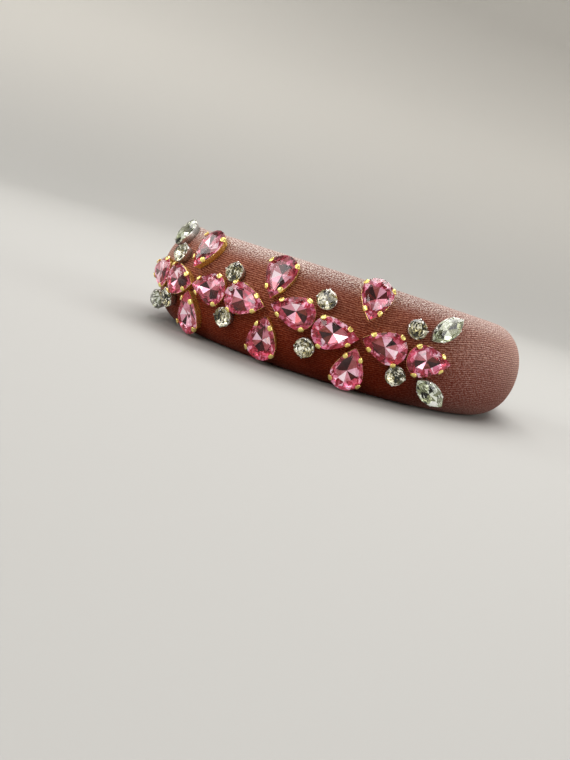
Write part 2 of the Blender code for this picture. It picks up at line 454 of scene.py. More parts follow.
@dataclass(frozen=True)
class Velvet:
    """Stretch velvet: a dark ground, knit rows along the band and a pale sheen on the pile.

    Lengths are in millimetres. From the crown to the ends the rows drift down by row_drift between
    two distances along the band, and between another two the ends get a painted sheen that makes
    the base colour paler. The top edge gets a painted sheen too, and low on the front the colour is
    painted darker as painted shade. Painted light makes the base colour lighter and the rows stand
    out more on the crown's left, short of a reach along the band. Noises are given by their spots
    to a millimetre along and across the band.
    """

    name: str = "velvet_pile"
    deep: Colour = (0.080, 0.004, 0.001)
    # low: the ridge colour low on the front, a painted shade
    low: Colour = (0.365, 0.062, 0.017)
    middle: Colour = (0.425, 0.155, 0.092)
    # light: the colour of the painted sheen on the top edge and at the ends
    light: Colour = (0.840, 0.760, 0.700)
    sheen: Colour = (1.0, 0.74, 0.64)
    row_pitch: float = 0.82
    row_drift: float = 9.0
    row_wander: float = 0.6
    drift_reach: tuple[float, float] = (35.0, 95.0)
    painted_end_sheen_reach: tuple[float, float] = (48.0, 88.0)
    painted_left_light_reach: tuple[float, float] = (0.0, 20.0)
    wander_spots: tuple[float, float, float] = (0.09, 0.30, 1.0)
    broken_spots: tuple[float, float, float] = (0.70, 1.50, 1.0)
    grain_spots: tuple[float, float, float] = (1.45, 1.7, 1.0)
    nap_spots: tuple[float, float, float] = (0.07, 0.11, 1.0)
    pile_height: float = 0.26

    def material(self) -> bpy.types.Material:
        """The finish, over the cover's map of distances in millimetres and its own attributes.

        Returns:
            The material.
        """
        graph = Graph(self.name)
        rise = graph.node("ShaderNodeAttribute", {"attribute_name": "rise"}).out("Fac")
        outer = graph.node("ShaderNodeAttribute", {"attribute_name": "outer"}).out("Fac")
        place = graph.node("ShaderNodeUVMap", {"uv_map": "cloth"}).out("UV")
        parts = graph.node("ShaderNodeSeparateXYZ", {}, {"Vector": place})
        along, across = parts.out("X"), parts.out("Y")

        wander = graph.noise(graph.stretched(place, self.wander_spots), 1.0, 2.0)
        drift = along.between(*self.drift_reach) * self.row_drift
        row_place = across - drift + wander * self.row_wander
        rows = (row_place * (2 * np.pi / self.row_pitch)).sine() * 0.5 + 0.5
        broken = graph.noise(graph.stretched(place, self.broken_spots), 1.0, 2.0)
        grain = graph.noise(graph.stretched(place, self.grain_spots), 1.0, 2.0, 0.7)
        nap = graph.noise(graph.stretched(place, self.nap_spots), 1.0, 3.0)

        outside = outer.between(-0.5, 0.1)
        # Painted sheen: the band's ends get a paler base colour, and more real sheen weight.
        ends = along.size().between(*self.painted_end_sheen_reach) * outside
        # Painted light: a lighter base colour on the crown's left.
        left = (1.0 - along.between(*self.painted_left_light_reach)) * (outside - ends)
        # Painted sheen: a paler, sparkling top edge in the base colour.
        painted_top_sheen = rise.between(0.62, 0.99) * (outside - ends * 0.45)
        tips = grain.between(0.42, 0.61)
        threads = rows * (broken.between(0.36, 0.60) * 0.70 + 0.30) * 0.72 + tips * 0.28
        knit = threads * (1.0 - painted_top_sheen * 0.55) + tips * painted_top_sheen * 0.55
        # Painted shade: the base colour darkens low on the front, where its sheen and gloss also
        # weaken.
        top_light_share = rise.between(-0.88, 0.53) * outside + (1.0 - outside) * 0.72
        # Ridge brightness: random nap tone plus painted light high up, at the ends and on the left.
        nap_and_painted_light = top_light_share * 0.72 + nap * 0.50 + ends * 0.20 + left * 0.34 - 0.18
        # Share of the painted sheen colour: top edge, ends and faint sparkle.
        pale = painted_top_sheen * (tips * 0.76 + 0.30) + ends * (tips * 0.20 + 0.14) + tips * 0.04
        # Painted shade: the ridges take the darker low colour low on the front.
        ground = graph.blend(top_light_share * top_light_share, self.low, self.middle)
        ridge = graph.blend(pale, ground, self.light)
        colour = graph.blend(knit * (nap_and_painted_light * 0.74 + 0.36), self.deep, ridge)
        return graph.surface({
            "Base Color": colour,
            "Roughness": 0.95 - tips * 0.15,
            "Specular IOR Level": 0.02 + top_light_share * 0.10,
            "Sheen Weight": 0.06 + top_light_share * 0.26 + ends * 0.12,
            "Sheen Roughness": 0.40,
            "Sheen Tint": self.sheen,
            "Normal": graph.bump(knit, 0.7, self.pile_height * MM),
        })


@dataclass(frozen=True)
class PlatedMetal:
    """Thin bright plating with a little wear, and painted shade low down in the setting."""

    name: str
    bright: Colour
    worn: Colour
    # low: the painted shade colour low down in the setting
    low: Colour

    def material(self) -> bpy.types.Material:
        """The finish, over Object coordinates and the setting's height attribute.

        Returns:
            The material.
        """
        graph = Graph(self.name)
        place = graph.node("ShaderNodeTexCoord").out("Object")
        height = graph.node("ShaderNodeAttribute", {"attribute_name": "height"}).out("Fac")
        patches = graph.noise(place, 900.0, 3.0)
        grain = graph.noise(graph.stretched(place, (1.0, 1.0, 3.0)), 2600.0, 2.0, 0.6)
        plating = graph.blend(patches.between(0.42, 0.72) * 0.7, self.bright, self.worn)
        # Painted shade: the colour darkens towards the setting's base, by its height attribute.
        colour = graph.blend(height.between(0.1, 0.75), self.low, plating)
        return graph.surface({
            "Base Color": colour,
            "Metallic": 0.88,
            "Roughness": 0.13 + patches * 0.18 + grain * 0.06,
            "Normal": graph.bump(grain * 0.5 + patches, 0.25, 0.06 * MM),
        })


@dataclass(frozen=True)
class CutGlass:
    """Polished glass, tinted in its depth."""

    name: str
    tint: Colour
    depth_tint: Colour
    depth_density: float

    def material(self) -> bpy.types.Material:
        """The finish, with faint handling marks in its gloss.

        Returns:
            The material.
        """
        graph = Graph(self.name)
        place = graph.node("ShaderNodeTexCoord").out("Object")
        marks = graph.noise(place, 1400.0, 4.0, 0.6)
        haze = graph.noise(place, 260.0, 2.0)
        if self.depth_density:
            values = {"Color": self.depth_tint, "Density": self.depth_density}
            depth = graph.node("ShaderNodeVolumeAbsorption", {}, values)
            graph.tree.links.new(depth.out("Volume").socket, graph.output.inputs["Volume"])
        return graph.surface({
            "Base Color": self.tint,
            "Roughness": marks.between(0.55, 0.85) * 0.03 + haze * 0.012,
            "IOR": 1.54,
            "Specular IOR Level": 0.12,
            "Transmission Weight": 1.0,
            "Normal": graph.bump(marks, 0.05, 0.01 * MM),
        })


@dataclass(frozen=True)
class Foil:
    """The mirror behind a stone: each facet has its own tone, from near black to near white.

    The tones are painted reflections of the room in the cut stone's facets, broken into shards for
    some cuts. Its light comes partly from its own glow, a painted light which stands for the room's
    light that a cut stone gathers and sends back.
    """

    name: str
    tones: tuple[tuple[float, Colour], ...]
    shards: float = 0.0
    shard_scale: float = 1150.0
    glow: float = 0.50
    darkening: float = 0.35

    def material(self) -> bpy.types.Material:
        """The finish, over the tone attribute of the stone's facets.

        Returns:
            The material.
        """
        graph = Graph(self.name)
        tone = graph.node("ShaderNodeAttribute", {"attribute_name": "tone"}).out("Fac")
        place = graph.node("ShaderNodeTexCoord").out("Object")
        ripple = graph.noise(place, 500.0, 2.0)
        values = {"Vector": place, "Scale": self.shard_scale, "Exponent": 0.7}
        cells = graph.node("ShaderNodeTexVoronoi", {"distance": "MINKOWSKI"}, values).out("Color")
        shard = graph.node("ShaderNodeSeparateColor", {}, {"Color": cells}).out("Red")
        # Painted reflections: facet tones and shard cells pick the colour, which also glows.
        shade = tone * (1.0 - self.shards) + shard * self.shards + (ripple - 0.5) * 0.12
        colour = graph.node("ShaderNodeValToRGB", {"stops": self.tones}, {"Fac": shade})
        return graph.surface({
            "Base Color": graph.blend(self.darkening, colour.out("Color"), BLACK),
            "Metallic": 1.0,
            "Roughness": 0.06 + ripple * 0.08,
            "Emission Color": colour.out("Color"),
            "Emission Strength": self.glow,
        })


@dataclass(frozen=True)
class Studio:
    """A plain pale floor and sweep, whose wall is paler since less light falls on it."""

    name: str = "studio_sweep"
    floor: Colour = (0.36, 0.36, 0.345)
    wall: Colour = (0.60, 0.59, 0.55)

    def material(self) -> bpy.types.Material:
        """The finish, with a barely visible unevenness.

        Returns:
            The material.
        """
        graph = Graph(self.name)
        place = graph.node("ShaderNodeTexCoord").out("Object")
        height = graph.node("ShaderNodeSeparateXYZ", {}, {"Vector": place}).out("Z")
        patch = graph.noise(place, 3.0, 3.0)
        grain = graph.noise(place, 420.0, 2.0)
        share = height.between(-0.01, 0.22) + (patch - 0.5) * 0.08
        return graph.surface({
            "Base Color": graph.blend(share, self.floor, self.wall),
            "Roughness": 0.62 + patch * 0.1,
            "Normal": graph.bump(grain, 0.05, 0.1 * MM),
        })


# The band's form, which repeats the CAD part's


@dataclass(frozen=True)
class Seat:
    """A place on the padding with its own axes: towards the pointed end, sideways and outwards."""

    origin: Array
    axes: Array

    def to_part(self, points: Array) -> Array:
        """Points given on the seat's axes, in the part's frame."""
        return points @ self.axes + self.origin

    def to_seat(self, points: Array) -> Array:
        """Points of the part's frame, on the seat's axes."""
        return (points - self.origin) @ self.axes.T


@dataclass(frozen=True)
class BandForm:
    """The crest line and the padded section of the band."""

    half_span: float = 78.0
    reach: float = 70.0
    leg_start: float = 105.0
    leg_length: float = 52.0
    leg_radius: float = 210.0
    crown_half_width: float = 21.0
    end_half_width: float = 11.5
    width_taper: float = 0.024
    end_taper: float = 58.0
    crown_padding: float = 13.6
    end_padding: float = 8.5
    inner_bulge: float = 3.0
    edge_flattening: float = 0.4
    seat_gap: float = 0.3

    @cached_property
    def shift(self) -> float:
        """How far the CAD part is moved in Y to centre it."""
        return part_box("padded_band")[0].y / MM + self.reach

    @cached_property
    def line(self) -> tuple[Array, Array, Array, Array]:
        """The crest as closely spaced points: distance from the crown, x, y and heading.

        It is half an ellipse, x = half_span sin a and y = -reach cos a, carried on to leg_start,
        and then a flat arc of leg_radius to each end.

        Returns:
            The distances, x, y and headings.
        """
        turn = np.radians(np.linspace(-self.leg_start, self.leg_start, 841))
        x = self.half_span * np.sin(turn)
        y = -self.reach * np.cos(turn)
        heading = np.arctan2(self.reach * np.sin(turn), self.half_span * np.cos(turn))
        distance = np.concatenate(([0.0], np.cumsum(np.hypot(np.diff(x), np.diff(y)))))
        distance -= distance[-1] / 2
        leg = np.linspace(0.0, self.leg_length, 93)[1:]
        turned = heading[-1] + leg / self.leg_radius
        leg_x = x[-1] + self.leg_radius * (np.sin(turned) - np.sin(heading[-1]))
        leg_y = y[-1] - self.leg_radius * (np.cos(turned) - np.cos(heading[-1]))
        return (np.concatenate((-distance[-1] - leg[::-1], distance, distance[-1] + leg)),
                np.concatenate((-leg_x[::-1], x, leg_x)),
                np.concatenate((leg_y[::-1], y, leg_y)) + self.shift,
                np.concatenate((-turned[::-1], heading, turned)))

    @property
    def half_length(self) -> float:
        """The distance along the crest from the crown to an end."""
        return float(self.line[0][-1])

    def crest(self, along: Array) -> tuple[Array, Array, Array]:
        """The crest at these distances along it.

        Args:
            along: the distances.

        Returns:
            The x, y and heading there.
        """
        distance, x, y, heading = self.line
        return (np.interp(along, distance, x), np.interp(along, distance, y),
                np.interp(along, distance, heading))

    def section(self, along: Array) -> tuple[Array, Array]:
        """The section's size, with a slow taper round the head and a quicker one in the legs.

        Args:
            along: distances along the crest.

        Returns:
            The half width and the padding's depth there.
        """
        y = self.crest(along)[1] - self.shift
        leg = smooth(0.0, 1.0, 1.0 - (self.half_length - np.abs(along)) / self.end_taper)
        round_head = self.crown_half_width - self.width_taper * (y + self.reach)
        half_width = round_head + (self.end_half_width - round_head) * leg
        padding = self.crown_padding + (self.end_padding - self.crown_padding) * leg
        return half_width, padding

    def surface(self, along: Array, angle: Array, size: Array | float = 1.0,
                proud: Array | float = 0.0) -> Array:
        """Points of the band's surface.

        The section is half an ellipse outside, from -90 at the lower edge over 0 at the crest to 90
        at the upper edge, and inside the square-cornered curve x^4 + z^4 = 1.

        Args:
            along: distances along the crest.
            angle: places round the section.
            size: how far the section is shrunk round its middle, for the rounded ends.
            proud: how far the point stands off the section, outwards.

        Returns:
            The points, in the part's frame.
        """
        x, y, heading = self.crest(along)
        half_width, padding = self.section(along)
        turn = np.radians(angle)
        cosine, sine = np.cos(turn), np.sin(turn)
        outer = cosine >= 0.0
        depth = np.where(outer, padding * cosine, -self.inner_bulge * np.sqrt(np.abs(cosine)))
        rise = np.where(outer, sine, np.sign(sine) * np.sqrt(np.abs(sine)))
        middle = (padding - self.inner_bulge) / 2
        out = middle + size * (depth - middle) - padding + proud * cosine
        height = half_width - self.edge_flattening + size * rise * half_width + proud * sine
        return np.stack((x + out * np.sin(heading), y - out * np.cos(heading),
                         np.maximum(height, 0.0)), axis=-1)

    def seat(self, along: float, across: float, turn: float) -> Seat:
        """The place of a setting's base, flat against the padding.

        Args:
            along: its distance along the crest.
            across: its distance across the padding from the crest.
            turn: how far its pointed end is turned from the band's direction.

        Returns:
            The seat.
        """
        half_width, padding = self.section(np.float64(along))
        fine = np.linspace(-90.0, 90.0, 721)
        slope = np.hypot(half_width * np.cos(np.radians(fine)), padding * np.sin(np.radians(fine)))
        arc = np.cumsum(slope) * np.radians(fine[1] - fine[0])
        angle = np.interp(across, arc - np.interp(0.0, fine, arc), fine)
        origin = self.surface(along, angle)
        forward = unit(self.surface(along + 0.5, angle) - self.surface(along - 0.5, angle))
        upward = unit(self.surface(along, angle + 1.0) - self.surface(along, angle - 1.0))
        normal = unit(np.cross(forward, upward))
        pointing = np.cos(np.radians(turn)) * forward + np.sin(np.radians(turn)) * np.cross(
            normal, forward)
        axes = np.stack((pointing, np.cross(normal, pointing), normal))
        return Seat(origin + normal * self.seat_gap, axes)


# Stones


def pear_outline(angle: Array, length: float = 17.8, width: float = 12.3,
                 flank_start: float = 75.0) -> tuple[Array, Array]:
    """A pear: a round end, and two flank arcs that leave it smoothly and meet at the point.

    Args:
        angle: directions from the pointed end.
        length: from the point to the round end.
        width: across the round end.
        flank_start: the direction in which the flanks leave the round end.

    Returns:
        The points and the outward directions there.
    """
    radius = width / 2
    point = length - radius
    start = np.radians(flank_start)
    flank_radius = (point**2 + radius**2 - 2 * point * radius * np.cos(start)) / (
        2 * (radius - point * np.cos(start)))
    centre = -(flank_radius - radius) * np.array((np.cos(start), np.sin(start)))
    turn = np.radians(angle)
    round_turn = np.abs((turn + np.pi) % (2 * np.pi) - np.pi)
    point_turn = np.arctan2(-centre[1], point - centre[0])
    flank_turn = point_turn + (start - point_turn) * round_turn / start
    on_flank = round_turn < start
    way = np.where(on_flank, flank_turn, round_turn)
    reach = np.where(on_flank, flank_radius, radius)
    upper = np.where(np.sin(turn) < -SIDE_TOLERANCE, -1.0, 1.0)
    x = np.where(on_flank, centre[0], 0.0) + reach * np.cos(way) + radius - length / 2
    y = upper * (np.where(on_flank, centre[1], 0.0) + reach * np.sin(way))
    at_point = round_turn < TOLERANCE
    normal_x = np.where(at_point, 1.0, np.cos(way))
    normal_y = np.where(at_point, 0.0, upper * np.sin(way))
    return np.stack((x, y), -1), np.stack((normal_x, normal_y), -1)


def marquise_outline(angle: Array, length: float = 16.8,
                     width: float = 8.0) -> tuple[Array, Array]:
    """A marquise: two equal arcs that meet in a point at each end.

    Args:
        angle: directions from one pointed end.
        length: from point to point.
        width: across its middle.

    Returns:
        The points and the outward directions there.
    """
    half_length, half_width = length / 2, width / 2
    radius = (half_length**2 + half_width**2) / (2 * half_width)
    turn = np.radians(angle)
    x = half_length * np.cos(turn)
    upper = np.where(np.sin(turn) < -SIDE_TOLERANCE, -1.0, 1.0)
    height = np.sqrt(radius**2 - x**2)
    at_point = np.abs(np.sin(turn)) < TOLERANCE
    normal_x = np.where(at_point, np.sign(x), x / radius)
    normal_y = np.where(at_point, 0.0, upper * height / radius)
    y = upper * (height - radius + half_width)
    return np.stack((x, y), -1), np.stack((normal_x, normal_y), -1)


def round_outline(angle: Array, width: float = 7.6) -> tuple[Array, Array]:
    """A circle.

    Args:
        angle: directions from its middle.
        width: across it.

    Returns:
        The points and the outward directions there.
    """
    turn = np.radians(angle)
    normal = np.stack((np.cos(turn), np.sin(turn)), -1)
    return normal * width / 2, normal


# The slots of a stone's finishes: the glass, and the foils behind its middle and its rim
FRONT, CENTRE_FOIL, RIM_FOIL = range(3)


class Cut(Enum):
    """The three cuts of stone."""

    PETAL = "petal"
    LEAF = "leaf"
    ROUND = "round"


@dataclass(frozen=True)
class Claw:
    """A claw: its width, its thickness and its path, by distance out from the girdle and height."""

    width: float
    thickness: float
    path: tuple[tuple[float, float], ...]


@dataclass(frozen=True)
class CutShape:
    """A cut's outline, its culet's place along its length, and its claws' angles from the point."""

    outline: Callable[[Array], tuple[Array, Array]]
    culet: float
    claws: tuple[float, ...]
    claw: Claw


BROAD_CLAW = Claw(width=2.05, thickness=0.46, path=(
    (-0.66, 0.35), (-0.52, 1.20), (-0.30, 2.00), (0.06, 2.60), (0.36, 3.05), (0.42, 3.55),
    (0.16, 4.05), (-0.36, 4.36), (-1.05, 4.52)))
SLIM_CLAW = Claw(width=0.62, thickness=0.24, path=(
    (-0.42, 0.35), (-0.33, 1.20), (-0.18, 2.00), (0.00, 2.60), (0.15, 3.05), (0.17, 3.45),
    (0.06, 3.74), (-0.16, 3.95), (-0.42, 4.12)))
CUT_SHAPES = {
    Cut.PETAL: CutShape(pear_outline, -0.9, (30.0, 115.0, 245.0, 330.0), BROAD_CLAW),
    Cut.LEAF: CutShape(marquise_outline, 0.0, (57.0, 123.0, 237.0, 303.0), SLIM_CLAW),
    Cut.ROUND: CutShape(round_outline, 0.0, (0.0, 90.0, 180.0, 270.0), SLIM_CLAW),
}


@dataclass(frozen=True)
class Stone:
    """A brilliant-cut stone with a foiled back.

    The crown has a table, eight star facets, eight kites and sixteen small facets at the girdle.
    The back has eight facets that meet at the culet and twenty-four round them.
    """

    shape: CutShape
    girdle_height: float = 3.05
    girdle_thickness: float = 0.40
    crown_height: float = 1.55
    table_scale: float = 0.62
    star_scale: float = 0.80
    star_rise: float = 0.60
    pavilion_depth: float = 2.05
    waist_scale: float = 0.60
    waist_spread: float = 0.09
    waist_depth: float = 1.12
    culet_spread: float = 0.35

    def ring(self, first: float, step: float, scale: Array | float, height: float) -> Array:
        """Points of the outline, shrunk towards the culet's place.

        Args:
            first: the direction of the first point.
            step: the angle from each point to the next.
            scale: how far they are shrunk, all alike or each by its own share.
            height: their height above the setting's base.

        Returns:
            The points on the seat's axes.
        """
        flat = self.shape.outline(np.arange(first, TURN + first - TOLERANCE, step))[0]
        centre = np.array((self.shape.culet, 0.0))
        flat = centre + np.reshape(scale, (-1, 1)) * (flat - centre)
        return np.column_stack((flat, np.full(len(flat), height)))

    def build(self, draw: np.random.Generator) -> Shell:
        """The facets between rings of 8 and 16 corners, with a foil for each part of the back.

        Args:
            draw: random numbers for the small unevenness of the back's facets.

        Returns:
            The stone on its seat's axes.
        """
        top = self.girdle_height + self.girdle_thickness
        table = self.ring(22.5, 45.0, self.table_scale, top + self.crown_height)
        star = self.ring(45.0, 45.0, self.star_scale, top + self.crown_height * self.star_rise)
        upper = self.ring(0.0, 22.5, 1.0, top)
        lower = self.ring(0.0, 22.5, 1.0, self.girdle_height)
        waist_scale = self.waist_scale + self.waist_spread * draw.uniform(-1.0, 1.0, 8)
        waist = self.ring(45.0, 45.0, waist_scale, self.girdle_height - self.waist_depth)
        culet_x, culet_y = draw.uniform(-self.culet_spread, self.culet_spread, 2)
        culet = np.array([[self.shape.culet + culet_x, culet_y,
                           self.girdle_height - self.pavilion_depth]])

        k = np.arange(8)
        after, odd, even, far = (k + 1) % 8, 2 * k + 1, (2 * k + 2) % 16, (2 * k + 3) % 16
        t, s, u, l, w, c = 0, 8, 16, 32, 48, 56
        ring = np.arange(16)
        crown = np.concatenate((
            np.stack((t + k, s + k, t + after), -1),
            np.stack((t + k, u + odd, s + k), -1),
            np.stack((t + after, s + k, u + far), -1),
            np.stack((s + k, u + odd, u + even), -1),
            np.stack((s + k, u + even, u + far), -1)))
        band = np.stack((u + ring, l + ring, l + (ring + 1) % 16, u + (ring + 1) % 16), -1)
        rim = np.concatenate((
            np.stack((w + k, l + even, l + odd), -1),
            np.stack((w + k, l + far, l + even), -1),
            np.stack((w + k, w + after, l + far), -1)))
        centre = np.stack((np.full(8, c), w + after, w + k), -1)
        faces = [tuple(range(8)), *map(tuple, crown.tolist()), *map(tuple, band.tolist()),
                 *map(tuple, rim.tolist()), *map(tuple, centre.tolist())]
        points = np.vstack((table, star, upper, lower, waist, culet))
        front = len(faces) - len(rim) - len(centre)
        slots = [FRONT] * front + [RIM_FOIL] * len(rim) + [CENTRE_FOIL] * len(centre)
        return Shell(points, faces, slots)


@dataclass(frozen=True)
class Setting:
    """A thin cup under a stone, and four claws folded over the stone's edge."""

    shape: CutShape
    sides: int = 72
    cup: tuple[tuple[float, float], ...] = (
        (0.0, 0.0), (0.70, 0.0), (0.82, 0.02), (0.865, 0.12), (0.895, 0.75), (0.935, 1.65),
        (0.970, 2.40), (0.990, 2.68), (0.990, 2.82), (0.970, 2.88), (0.950, 2.84), (0.930, 2.55),
        (0.880, 1.75), (0.80, 0.80), (0.72, 0.58), (0.0, 0.55))
    claw_rings: int = 26
    claw_sides: int = 14
    tip_length: float = 0.16
    foot_width: float = 0.72
    tip_swell: float = 0.30

    def build_cup(self) -> Shell:
        """The cup: its profile of scale and height carried round the stone's outline.

        Returns:
            The cup on the seat's axes.
        """
        angle = np.arange(self.sides) * TURN / self.sides
        flat = self.shape.outline(angle)[0]
        profile = np.asarray(self.cup)
        points = flat[None, :, :] * profile[:, None, None, 0]
        heights = np.broadcast_to(profile[:, None, 1:2], (*points.shape[:2], 1))
        return Shell.tube(np.concatenate((points, heights), axis=-1))

    def build_claw(self, angle: float) -> Shell:
        """A claw: the flat oval |a|^3 + |b|^3 = 1 carried up its path and drawn to a round tip.

        Args:
            angle: the claw's direction from the pointed end.

        Returns:
            The claw on the seat's axes.
        """
        point, normal = (row[0] for row in self.shape.outline(np.array([angle])))
        claw = self.shape.claw
        path = curve_through(claw.path, self.claw_rings)
        way = unit(np.gradient(path, axis=0))
        share = np.linspace(0.0, 1.0, self.claw_rings)
        into_tip = np.clip((share - 1.0 + self.tip_length) / self.tip_length, 0.0, 1.0)
        round_tip = np.sqrt(np.clip(1.0 - into_tip**2, 0.0, 1.0))
        width = self.foot_width + self.tip_swell * smooth(0.45, 0.80, share)
        swell = width * round_tip * np.where(share > 0, 1, 0)
        turn = np.radians(np.arange(self.claw_sides) * TURN / self.claw_sides)
        oval = [np.sign(f) * np.abs(f) ** (2.0 / 3.0) for f in (np.cos(turn), np.sin(turn))]
        side = claw.width / 2 * swell[:, None] * oval[0]
        lift = claw.thickness / 2 * np.sqrt(swell)[:, None] * oval[1]
        out = path[:, None, 0] - way[:, None, 1] * lift
        height = path[:, None, 1] + way[:, None, 0] * lift
        across = np.array((-normal[1], normal[0]))
        flat = point + out[..., None] * normal + side[..., None] * across
        return Shell.tube(np.concatenate((flat, height[..., None]), axis=-1))

    def build(self) -> Shell:
        """The cup and its claws."""
        return Shell.joined([self.build_cup(), *map(self.build_claw, self.shape.claws)])


@dataclass
class Jewels:
    """All stones of one cut, each in its setting."""

    cut: Cut
    places: tuple[tuple[str, float, float, float], ...]
    metal: str
    glass: str
    finishes: Mapping[str, bpy.types.Material]
    form: BandForm
    # centre_tones: painted reflection tones of the eight back facets round the culet
    centre_tones: tuple[float, ...] = (0.05, 0.22, 0.58, 0.97, 0.60, 0.10, 0.80, 0.42)
    tone_spread: float = 0.08
    setting_height: float = 4.5
    smooth_angle: float = 50.0
    seats: dict[str, Seat] = field(default_factory=dict)

    def build(self) -> list[bpy.types.Object]:
        """Make each setting and stone at its seat in place of its CAD node.

        Returns:
            The new pieces.
        """
        shape = CUT_SHAPES[self.cut]
        setting = Setting(shape).build()
        made = []
        for name, along, across, turn in self.places:
            seat = self.seats[name] = self.form.seat(along, across, turn)
            made.append(self.dress_setting(f"{self.cut.value}_{name}_setting", setting, seat))
            made.append(self.dress_stone(f"{self.cut.value}_{name}_stone", seat))
        return made

    def dress_setting(self, node: str, setting: Shell, seat: Seat) -> bpy.types.Object:
        """A metal setting in place of its node, with its height as an attribute from 0 to 1.

        Args:
            node: the CAD node.
            setting: the setting on its seat's axes.
            seat: its place on the band.

        Returns:
            The piece.
        """
        piece = make_piece(f"{node}_cup_and_claws", setting.moved(seat),
                           [self.finishes[self.metal]], smooth_angle=self.smooth_angle)
        height = seat.to_seat(read_vectors(piece.data.vertices, "co") / MM)[:, 2]
        add_attribute(piece.data, "height", "POINT", height / self.setting_height)
        return place_piece(piece, node)

    def dress_stone(self, node: str, seat: Seat) -> bpy.types.Object:
        """A glass stone in place of its node, with a painted reflection tone for each back facet.

        Args:
            node: the CAD node.
            seat: its place on the band.

        Returns:
            The piece.
        """
        seed = sum(ord(letter) * (i + 1) for i, letter in enumerate(node))
        draw = np.random.default_rng(seed)
        stone = Stone(CUT_SHAPES[self.cut]).build(draw)
        piece = make_piece(f"{node}_cut_glass", stone.moved(seat), [
            self.finishes[self.glass], self.finishes[self.cut.value + "_centre"],
            self.finishes[self.cut.value + "_rim"]])
        # Painted reflections: a random tone per facet, and a set pattern round the culet.
        tones = draw.random(len(piece.data.polygons))
        centre = np.roll(self.centre_tones, draw.integers(8))
        centre = centre + draw.uniform(-self.tone_spread, self.tone_spread, 8)
        tones[np.asarray(stone.slots) == CENTRE_FOIL] = np.clip(centre, 0.0, 1.0)
        add_attribute(piece.data, "tone", "FACE", tones)
        return place_piece(piece, node)


def place_piece(piece: bpy.types.Object, node: str) -> bpy.types.Object:
    """Let a piece stand for a CAD node and ride on the part.

    Args:
        piece: the piece.
        node: the CAD node that it replaces.

    Returns:
        The same piece.
    """
    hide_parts(node)
    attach(piece, ROOT)
    LOG.info("%s: %d faces", piece.name, len(piece.data.polygons))
    return piece


# Band


